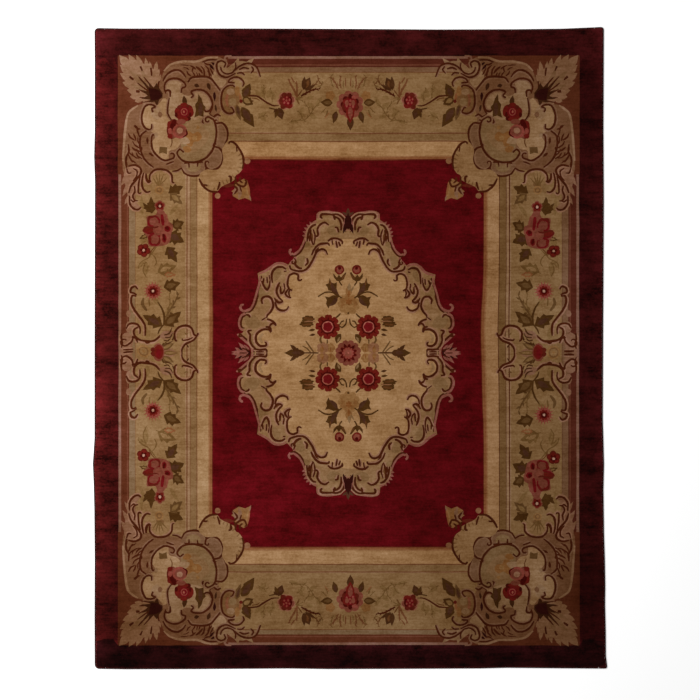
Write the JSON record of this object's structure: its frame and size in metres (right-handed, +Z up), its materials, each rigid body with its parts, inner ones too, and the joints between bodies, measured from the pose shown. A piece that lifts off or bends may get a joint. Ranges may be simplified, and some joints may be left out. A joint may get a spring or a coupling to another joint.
{
  "type": "aubusson rug",
  "caption": "Room-size hand-knotted wool rug lying flat, with an overcast cord edge, a scrolled medallion on a plain field, flower borders and shell corners.",
  "frame": {"origin": "on the floor under the middle of the rug's outline", "axes": "+Y along the rug's length towards its head, where the pattern is upright, +X to the right across its width, +Z up out of the pile"},
  "size_m": [2.467, 3.08, 0.012],
  "materials": {
    "pile_wool": "cut wool pile, matte with a soft nap, crimson, camel, olive and maroon",
    "overcast_wool": "dark wool yarn bound round the edge, matte"
  },
  "bodies": {
    "root": {"knotted_cloth": "pile_wool", "side_cord_left": "overcast_wool", "side_cord_right": "overcast_wool", "end_cord_foot": "overcast_wool", "end_cord_head": "overcast_wool"}
  },
  "joints": []
}
